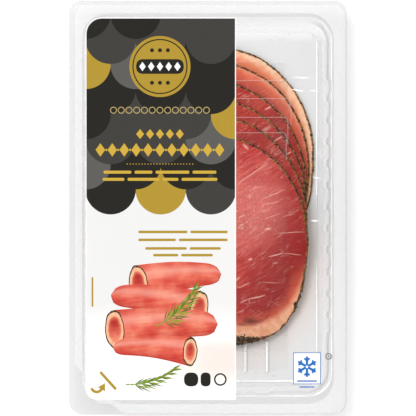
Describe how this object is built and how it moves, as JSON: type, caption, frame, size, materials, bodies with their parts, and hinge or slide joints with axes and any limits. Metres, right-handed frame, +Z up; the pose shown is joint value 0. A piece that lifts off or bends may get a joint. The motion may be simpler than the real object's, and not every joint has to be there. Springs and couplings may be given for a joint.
{
  "type": "sealed clear pack of sliced cured ham",
  "caption": "Shallow clear formed tray sealed with a flat film, holding shingled thin slices of cured ham with a dark herb rim and clear sheets between them.",
  "frame": {"origin": "middle of the pack's outline, on the surface that the tray's floor rests on", "axes": "+Z up out of the lid film, +Y towards the top edge of the pack's face, +X to the face's right"},
  "size_m": [0.14, 0.2084, 0.0139],
  "materials": {
    "clear_tray": "glossy clear formed plastic sheet, bright on its flutes and edges",
    "clear_film": "glossy clear film with a dark and pale printed field on its left part",
    "clear_sheet": "thin limp clear sheet, faintly lilac where it lies double",
    "cured_ham": "moist lean cured meat, deep pink-red with fine pale marbling, a peach fat edge and a thin rim of dark herbs"
  },
  "bodies": {
    "root": {"tray": "clear_tray", "lid_film": "clear_film", "interleaf_1": "clear_sheet", "interleaf_2": "clear_sheet", "interleaf_3": "clear_sheet", "interleaf_4": "clear_sheet", "interleaf_5": "clear_sheet", "interleaf_6": "clear_sheet", "slice_1": "cured_ham", "slice_2": "cured_ham", "slice_3": "cured_ham", "slice_4": "cured_ham", "slice_5": "cured_ham", "slice_6": "cured_ham"}
  },
  "joints": []
}
